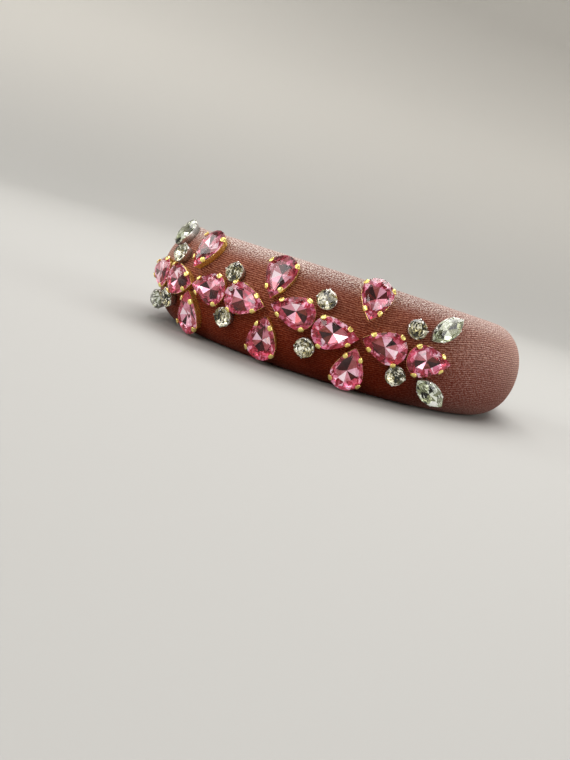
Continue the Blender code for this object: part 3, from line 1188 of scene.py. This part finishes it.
@dataclass
class PaddedBand:
    """The velvet cover over the padding, swollen between the places where stones hold it down.

    The cover starts inside the padding's surface by its slack and swells as cloth. It is enlarged
    for that, because cloth of the real size hardly moves. Scales are shares of a stone's outline:
    the cover is held within held_scale, flat within base_scale and free beyond rise_scale.
    """

    form: BandForm
    finish: bpy.types.Material
    seats: Sequence[tuple[Cut, Seat]]
    rings: int = 128
    sides: int = 42
    end_rounding: float = 9.0
    end_rings: int = 9
    slack: float = 0.45
    quick_share: float = 0.9
    swell_limit: float = 0.60
    sink_limit: float = 0.2
    simulated_scale: float = 40.0
    frames: int = 20
    cloth_quality: int = 6
    pressure: float = 4.0
    cloth_mass: float = 0.3
    stretch_stiffness: float = 8.0
    shear_stiffness: float = 4.0
    bending_stiffness: float = 0.4
    held_scale: float = 0.5
    held_blend: float = 0.25
    least_hold: float = 0.02
    inner_side: float = 0.05
    base_scale: float = 0.88
    rise_scale: float = 1.22
    base_clearance: float = 0.07
    stone_reach: float = 5.0

    @cached_property
    def angles(self) -> Array:
        """Places round the section at even distances, from the inner side's middle and round.

        Returns:
            Their angles.
        """
        fine = np.linspace(-180.0, 180.0, 2881)
        arc = self.arc_lengths(np.zeros(1), fine)[0]
        return np.interp(np.linspace(arc[0], arc[-1], self.sides + 1)[:-1], arc, fine)

    def arc_lengths(self, along: Array, angle: Array) -> Array:
        """Distances round the section.

        Args:
            along: distances along the crest.
            angle: places round the section.

        Returns:
            The distance from the crest to each angle, a row for each place along.
        """
        points = self.form.surface(along[:, None], angle[None, :])
        steps = np.linalg.norm(np.diff(points, axis=1), axis=-1)
        arc = np.concatenate((np.zeros((len(along), 1)), np.cumsum(steps, axis=1)), axis=1)
        crest = np.array([np.interp(0.0, angle, row) for row in arc])
        return arc - crest[:, None]

    def stations(self) -> tuple[Array, Array]:
        """Places along the band and the section's size there, closer together at the ends.

        Returns:
            The distances along the crest, and the sizes.
        """
        end = np.radians(np.linspace(0.0, 89.0, self.end_rings + 1)[1:])
        tip = self.form.half_length - self.end_rounding * (1.0 - np.sin(end))
        main = np.linspace(-1.0, 1.0, self.rings) * (self.form.half_length - self.end_rounding)
        along = np.concatenate((-tip[::-1], main, tip))
        size = np.concatenate((np.cos(end)[::-1], np.ones(self.rings), np.cos(end)))
        return along, size

    def build(self) -> bpy.types.Object:
        """The cover in place of its CAD node.

        Returns:
            The piece.
        """
        along, size = self.stations()
        proud = -self.slack * np.clip(np.cos(np.radians(self.angles)), 0.0, 1.0)
        rings = self.form.surface(along[:, None], self.angles[None, :], size[:, None],
                                  proud[None, :])
        piece = self.make_cover(rings, along)
        rest = self.read_points(piece)
        moved = self.let_swell(piece, rest)
        self.write_points(piece, rest + moved)
        self.subdivide(piece)
        self.write_points(piece, self.settle(self.read_points(piece)))
        return place_piece(piece, "padded_band")

    def make_cover(self, rings: Array, along: Array) -> bpy.types.Object:
        """The cover's mesh: a tube with a pole at each end.

        Args:
            rings: its points, an array of rings by sides by three.
            along: the distance of each ring along the crest.

        Returns:
            The piece, with a map of distances and its attributes.
        """
        count, sides = rings.shape[:2]
        points = np.vstack((rings.reshape(-1, 3), rings[[0, -1]].mean(axis=1)))
        quads = tube_faces(count, sides)[:, ::-1]
        side = np.arange(sides)
        beside = (side + 1) % sides
        pole, last = count * sides, (count - 1) * sides
        first_cap = np.stack((np.full(sides, pole), side, beside), -1)
        last_cap = np.stack((np.full(sides, pole + 1), last + beside, last + side), -1)
        mesh = bpy.data.meshes.new("padded_velvet_cover")
        faces = quads.tolist() + first_cap.tolist() + last_cap.tolist()
        mesh.from_pydata((points * MM).tolist(), [], faces)
        mesh.materials.append(self.finish)
        layer = mesh.uv_layers.new(name="cloth")
        layer.data.foreach_set("uv", self.cloth_map(quads, along).astype(np.float32).ravel())
        for name, wave in (("rise", np.sin), ("outer", np.cos)):
            around = np.tile(wave(np.radians(self.angles)), count)
            add_attribute(mesh, name, "POINT", np.append(around, (0.0, 0.0)))
        mesh.shade_smooth()
        return add_object("padded_velvet_cover", mesh)

    def cloth_map(self, quads: Array, along: Array) -> Array:
        """The map that the velvet's rows follow: distances along the band and round its section.

        Args:
            quads: the tube's faces, by their points' numbers.
            along: the distance of each ring along the crest.

        Returns:
            A pair of distances for each corner of the quads and then of the two caps.
        """
        arc = self.arc_lengths(along, np.append(self.angles, 180.0))
        ring, side = quads // self.sides, quads % self.sides
        wrapped = (side == 0) & (side.max(axis=1) == self.sides - 1)[:, None]
        side = np.where(wrapped, self.sides, side)
        maps = [np.stack((along[ring], arc[ring, side]), -1).reshape(-1, 2)]
        start = np.arange(self.sides)
        first = np.stack((start + 0.5, start, start + 1), -1)
        for end, corner in ((0, first), (-1, first[:, [0, 2, 1]])):
            round_end = np.interp(corner, np.arange(self.sides + 1), arc[end])
            maps.append(np.stack((np.full(corner.shape, along[end]), round_end), -1).reshape(-1, 2))
        return np.concatenate(maps)

    @staticmethod
    def read_points(piece: bpy.types.Object) -> Array:
        """The piece's points, in millimetres."""
        return read_vectors(piece.data.vertices, "co") / MM

    @staticmethod
    def write_points(piece: bpy.types.Object, points: Array) -> None:
        """Move the piece's points, given in millimetres."""
        piece.data.vertices.foreach_set("co", (points * MM).astype(np.float32).ravel())
        piece.data.update()

    @staticmethod
    def outwards(piece: bpy.types.Object) -> Array:
        """The outward directions at the piece's points."""
        return read_vectors(piece.data.vertex_normals, "vector")

    def under_stone(self, cut: Cut, local: Array, full: float, free: float) -> Array:
        """How well each point lies under a stone.

        Args:
            cut: the stone's cut.
            local: the points, on the seat's axes.
            full: the share of the outline up to which a point lies under the stone.
            free: the share from which on it doesn't.

        Returns:
            A share for each point, from 0 to 1.
        """
        near = np.abs(local[:, 2]) < self.stone_reach
        return np.where(near, 1.0 - smooth(full, free, self.outline_ratio(cut, local)), 0.0)

    @staticmethod
    def outline_ratio(cut: Cut, local: Array) -> Array:
        """How far out from the middle of a stone points lie.

        Args:
            cut: the stone's cut.
            local: the points, on the seat's axes.

        Returns:
            Their distance as a share of the outline's in the same direction.
        """
        outline = CUT_SHAPES[cut].outline(np.linspace(0.0, TURN, 181))[0]
        way = np.unwrap(np.arctan2(outline[:, 1], outline[:, 0]))
        reach = np.hypot(outline[:, 0], outline[:, 1])
        direction = np.arctan2(local[:, 1], local[:, 0]) % (2 * np.pi)
        return np.hypot(local[:, 0], local[:, 1]) / np.interp(direction, way, reach)

    def let_swell(self, piece: bpy.types.Object, rest: Array) -> Array:
        """Press the cover outwards as cloth held under the stones and along the inner side.

        Args:
            piece: the slack cover.
            rest: its points before.

        Returns:
            How far each point moves, eased so that none moves further than the limit.
        """
        normals = self.outwards(piece)
        group = self.hold(piece, rest)
        self.write_points(piece, rest * self.simulated_scale)
        cloth = piece.modifiers.new("cover", "CLOTH")
        settings = cloth.settings
        settings.quality = self.cloth_quality
        settings.mass = self.cloth_mass
        settings.tension_stiffness = self.stretch_stiffness
        settings.compression_stiffness = self.stretch_stiffness
        settings.shear_stiffness = self.shear_stiffness
        settings.bending_stiffness = self.bending_stiffness
        settings.vertex_group_mass = group.name
        settings.use_pressure = True
        settings.uniform_pressure_force = self.pressure
        settings.effector_weights.gravity = 0.0
        cloth.point_cache.frame_start = 1
        cloth.point_cache.frame_end = self.frames
        for number in range(1, self.frames + 1):
            bpy.context.scene.frame_set(number)
        shown = piece.evaluated_get(bpy.context.evaluated_depsgraph_get()).to_mesh()
        moved = read_vectors(shown.vertices, "co") / MM / self.simulated_scale - rest
        piece.modifiers.remove(cloth)
        piece.vertex_groups.remove(group)
        bpy.context.scene.frame_set(1)
        outward = np.clip(np.einsum("ij,ij->i", moved, normals), -self.sink_limit, None)
        capped = self.swell_limit * np.tanh(outward / self.swell_limit)
        evened = self.evened(capped[:-2].reshape(-1, self.sides))
        LOG.info("cover swells by %.2f to %.2f mm", evened.min(), evened.max())
        return normals * np.append(evened, evened[[0, -1]].mean(axis=1))[:, None]

    def hold(self, piece: bpy.types.Object, rest: Array) -> bpy.types.VertexGroup:
        """Mark where the cover is held: under the stones and along the inner side.

        Args:
            piece: the slack cover.
            rest: its points.

        Returns:
            The group, which pins each point by its share.
        """
        held = np.zeros(len(rest))
        inner = np.cos(np.radians(self.angles)) < self.inner_side
        held[:-2] = np.tile(inner, (len(rest) - 2) // self.sides)
        for cut, seat in self.seats:
            held = np.maximum(held, self.under_stone(cut, seat.to_seat(rest), self.held_scale,
                                                     self.held_scale + self.held_blend))
        group = piece.vertex_groups.new(name="held")
        for index in np.nonzero(held > self.least_hold)[0].tolist():
            group.add([index], float(held[index]), "REPLACE")
        return group

    @staticmethod
    def evened(amounts: Array, passes: int = 3) -> Array:
        """Average each amount with its neighbours round and along the band, without creases.

        Args:
            amounts: one row for each ring of the cover.
            passes: how many times each is averaged.

        Returns:
            The amounts, as many as before.
        """
        for _ in range(passes):
            amounts = (np.roll(amounts, 1, 1) + np.roll(amounts, -1, 1)) * 0.25 + amounts * 0.5
            longer = np.pad(amounts, ((1, 1), (0, 0)), "edge")
            amounts = (longer[:-2] + longer[2:]) * 0.25 + amounts * 0.5
        return amounts

    def settle(self, points: Array) -> Array:
        """Lay the cover against each setting's base, with a soft rise up to it all round.

        Args:
            points: the swollen cover's points.

        Returns:
            The settled points, none of them below the surface that the band lies on.
        """
        for cut, seat in self.seats:
            local = seat.to_seat(points)
            share = self.under_stone(cut, local, self.base_scale, self.rise_scale)
            local[:, 2] -= share * (self.base_clearance + local[:, 2])
            points = seat.to_part(local)
        points[:, 2] = np.maximum(points[:, 2], 0.0)
        return points

    @staticmethod
    def subdivide(piece: bpy.types.Object) -> None:
        """Round the cover with two applied subdivisions.

        Args:
            piece: the cover.
        """
        modifier = piece.modifiers.new("round", "SUBSURF")
        modifier.levels = modifier.render_levels = 2
        modifier.uv_smooth = "PRESERVE_BOUNDARIES"
        graph = bpy.context.evaluated_depsgraph_get()
        mesh = bpy.data.meshes.new_from_object(piece.evaluated_get(graph), depsgraph=graph)
        piece.modifiers.clear()
        piece.data = mesh


# Studio


@dataclass(frozen=True)
class Sweep:
    """A round floor, just under the part, whose rim curves up into a low wall."""

    drop: float = 0.05
    flat_radius: float = 760.0
    curve_radius: float = 520.0
    sides: int = 128

    def build(self, finish: bpy.types.Material) -> bpy.types.Object:
        """The floor: a profile of a straight line and a quarter circle, turned about the Z axis.

        Args:
            finish: its material.

        Returns:
            The floor.
        """
        line = np.linspace(0.0, self.flat_radius, 24)
        turn = np.radians(np.linspace(0.0, 88.0, 40))[1:]
        radius = np.concatenate((line, self.flat_radius + self.curve_radius * np.sin(turn)))
        height = np.concatenate((np.zeros(24), self.curve_radius * (1.0 - np.cos(turn))))
        way = np.radians(np.arange(self.sides) * TURN / self.sides)
        rings = np.stack((radius[:, None] * np.cos(way), radius[:, None] * np.sin(way),
                          np.broadcast_to(height[:, None], (len(radius), self.sides))), -1)
        rings[..., 2] -= self.drop
        piece = make_piece("studio_floor", Shell.tube(rings), [finish], smooth_angle=60.0)
        if piece.data.polygons[0].normal.z < 0.0:
            piece.data.flip_normals()
        return piece


@dataclass(frozen=True)
class SoftBox:
    """A rectangular lamp."""

    name: str
    place: tuple[float, float, float]
    aim: tuple[float, float, float]
    size: tuple[float, float]
    power: float
    colour: Colour = (1.0, 1.0, 1.0)

    def build(self) -> bpy.types.Object:
        """The lamp, in metres, turned towards its aim.

        Returns:
            The lamp.
        """
        lamp = bpy.data.lights.new(self.name, "AREA")
        lamp.shape = "RECTANGLE"
        lamp.size, lamp.size_y = self.size
        lamp.energy = self.power
        lamp.color = self.colour
        placed = add_object(self.name, lamp)
        placed.location = self.place
        away = Vector(self.aim) - Vector(self.place)
        placed.rotation_euler = away.to_track_quat("-Z", "Y").to_euler()
        return placed


SOFT_BOXES = (
    SoftBox("key_lamp", (-0.05, 0.50, 0.85), (0.0, -0.04, 0.03), (1.10, 0.70), 13.0,
            (1.0, 0.98, 0.96)),
    SoftBox("top_lamp", (-0.15, -0.25, 0.95), (0.0, -0.03, 0.02), (1.00, 0.60), 2.5,
            (1.0, 0.98, 0.96)),
    SoftBox("front_lamp", (-0.20, -0.90, 0.50), (0.0, -0.05, 0.02), (0.80, 0.45), 4.0,
            (1.0, 0.98, 0.97)),
    SoftBox("right_lamp", (0.95, 0.05, 0.42), (0.0, 0.0, 0.02), (0.60, 0.45), 3.0,
            (1.0, 0.99, 0.97)),
    SoftBox("left_lamp", (-0.95, -0.25, 0.40), (0.0, 0.0, 0.02), (0.50, 0.45), 2.5,
            (1.0, 0.99, 0.97)),
)


@dataclass(frozen=True)
class PhotoCamera:
    """The camera that was fitted to the photograph, in millimetres and pixels of 570 by 760."""

    azimuth: float = 22.47
    elevation: float = 4.64
    roll: float = 16.77
    distance: float = 516.5
    target: tuple[float, float, float] = (0.0, -28.93, 21.1)
    focal: float = 1306.8
    offset: tuple[float, float] = (22.16, -67.55)
    frame_height: float = 760.0
    sensor: float = 36.0

    def build(self) -> bpy.types.Object:
        """The scene's camera.

        Returns:
            The camera.
        """
        azimuth, elevation = np.radians(self.azimuth), np.radians(self.elevation)
        back = Vector((np.sin(azimuth) * np.cos(elevation), -np.cos(azimuth) * np.cos(elevation),
                       np.sin(elevation)))
        data = bpy.data.cameras.new("photo_camera")
        data.sensor_width = self.sensor
        data.lens = self.focal / self.frame_height * self.sensor
        data.shift_x = -self.offset[0] / self.frame_height
        data.shift_y = self.offset[1] / self.frame_height
        data.clip_start, data.clip_end = 0.01, 20.0
        camera = add_object("photo_camera", data)
        turn = (-back).to_track_quat("-Z", "Y").to_matrix() @ Matrix.Rotation(
            np.radians(self.roll), 3, "Z")
        camera.matrix_world = Matrix.LocRotScale(
            (Vector(self.target) + back * self.distance) * MM, turn, None)
        bpy.context.scene.camera = camera
        return camera


def light_room(strength: float = 0.36) -> None:
    """A soft, slightly warm room round the sweep, shown without film grading.

    Args:
        strength: the brightness of the room's light.
    """
    bpy.context.scene.view_settings.view_transform = "Standard"
    world = bpy.data.worlds.new("studio_room")
    world.use_nodes = True
    background = world.node_tree.nodes["Background"]
    background.inputs["Color"].default_value = (0.95, 0.88, 0.84, 1.0)
    background.inputs["Strength"].default_value = strength
    bpy.context.scene.world = world


# Places of the stones: name, along, across, turn of the pointed end

PETALS = (
    ("left_end", -62.5, -0.2, 180.0),
    ("left_flower_left", -44.8, -0.6, 2.0),
    ("left_flower_upper", -37.0, 13.0, -91.0),
    ("left_flower_lower", -36.6, -10.5, 87.0),
    ("left_flower_right", -27.1, 0.3, 184.0),
    ("middle_flower_left", -9.6, 0.7, 0.0),
    ("middle_flower_upper", 0.2, 11.9, -88.0),
    ("middle_flower_lower", 0.8, -9.7, 88.0),
    ("middle_flower_right", 9.8, 2.3, 180.0),
    ("right_flower_left", 26.6, -0.6, 6.0),
    ("right_flower_upper", 37.0, 14.3, -93.0),
    ("right_flower_lower", 34.7, -10.5, 88.0),
    ("right_flower_right", 44.2, 0.3, 177.0),
    ("right_end", 61.6, -0.5, 7.0),
)
LEAVES = (
    ("left_upper", -62.4, 16.2, 124.0),
    ("left_lower", -66.4, -11.2, 195.0),
    ("right_upper", 66.6, 11.5, 42.0),
    ("right_lower", 67.0, -11.0, -29.0),
)
ROUNDS = (
    ("outer_left_upper", -51.9, 8.5, 0.0),
    ("outer_left_lower", -53.1, -8.5, 0.0),
    ("inner_left_upper", -18.2, 8.6, 0.0),
    ("inner_left_lower", -17.4, -7.5, 0.0),
    ("inner_right_upper", 20.0, 9.5, 0.0),
    ("inner_right_lower", 17.2, -8.3, 0.0),
    ("outer_right_upper", 54.6, 8.9, 0.0),
    ("outer_right_lower", 51.6, -8.3, 0.0),
)


# Painted reflections of the clear stones' foils, from black through olive to white.
LEAF_TONES = ((0.0, (0.004, 0.004, 0.003)), (0.30, (0.012, 0.012, 0.008)),
              (0.36, (0.11, 0.11, 0.06)), (0.49, (0.27, 0.285, 0.17)), (0.60, (0.40, 0.425, 0.28)),
              (0.66, (0.90, 0.93, 0.80)), (1.0, (1.0, 1.0, 0.95)))
ROUND_TONES = ((0.0, (0.006, 0.006, 0.004)), (0.38, (0.014, 0.014, 0.008)),
               (0.46, (0.15, 0.125, 0.055)), (0.64, (0.38, 0.33, 0.17)), (0.74, (0.95, 0.91, 0.74)),
               (1.0, (1.0, 1.0, 0.94)))


def make_finishes() -> dict[str, bpy.types.Material]:
    """Every finish by the name of the slot it belongs to, and the foils behind the stones.

    Returns:
        The materials by name.
    """
    return {
        "velvet": Velvet().material(),
        "gold": PlatedMetal("gold_plating", (1.0, 0.83, 0.28), (0.90, 0.68, 0.18),
                            (0.95, 0.70, 0.19)).material(),
        "silver": PlatedMetal("silver_plating", (0.82, 0.81, 0.78), (0.62, 0.61, 0.58),
                              (0.34, 0.31, 0.28)).material(),
        "pink_glass": CutGlass("pink_cut_glass", (1.0, 0.92, 0.94), (1.0, 0.40, 0.50),
                               50.0).material(),
        # The foils' ramps are painted reflections, from dark to white highlights, and they glow.
        "petal_centre": Foil("petal_centre_foil", (
            (0.0, (0.012, 0.001, 0.002)), (0.22, (0.045, 0.005, 0.005)),
            (0.38, (0.22, 0.045, 0.025)), (0.54, (0.50, 0.18, 0.20)), (0.74, (0.90, 0.57, 0.71)),
            (0.92, (1.0, 0.97, 1.0))), 0.12, 330.0).material(),
        "petal_rim": Foil("petal_rim_foil", (
            (0.0, (0.05, 0.001, 0.003)), (0.30, (0.19, 0.008, 0.013)), (0.42, (0.36, 0.030, 0.050)),
            (0.62, (0.52, 0.085, 0.135)), (0.76, (0.80, 0.27, 0.43)), (0.90, (1.0, 0.82, 0.92))),
            0.62, 760.0).material(),
        "clear_glass": CutGlass("clear_cut_glass", (0.98, 0.99, 0.96), (0.9, 1.0, 0.9),
                                0.0).material(),
        "leaf_centre": Foil("leaf_centre_foil", LEAF_TONES, 0.30, 330.0).material(),
        "leaf_rim": Foil("leaf_rim_foil", LEAF_TONES, 0.45, 420.0).material(),
        "round_centre": Foil("round_centre_foil", ROUND_TONES, 0.65, 880.0).material(),
        "round_rim": Foil("round_rim_foil", ROUND_TONES, 0.70, 880.0).material(),
    }


def main() -> None:
    """Build the camera and studio, the stones in their settings and the velvet band."""
    logging.basicConfig(level=logging.INFO, format="%(name)s: %(message)s")
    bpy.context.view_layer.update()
    PhotoCamera().build()
    light_room()
    Sweep().build(Studio().material())
    for lamp in SOFT_BOXES:
        lamp.build()

    form = BandForm()
    finishes = make_finishes()
    jewels = (Jewels(Cut.PETAL, PETALS, "gold", "pink_glass", finishes, form),
              Jewels(Cut.LEAF, LEAVES, "silver", "clear_glass", finishes, form),
              Jewels(Cut.ROUND, ROUNDS, "silver", "clear_glass", finishes, form))
    for kind in jewels:
        LOG.info("%d pieces of cut %s", len(kind.build()), kind.cut.value)
    seats = [(kind.cut, seat) for kind in jewels for seat in kind.seats.values()]
    PaddedBand(form, finishes["velvet"], seats).build()

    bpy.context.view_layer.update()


if __name__ == "__main__":
    main()
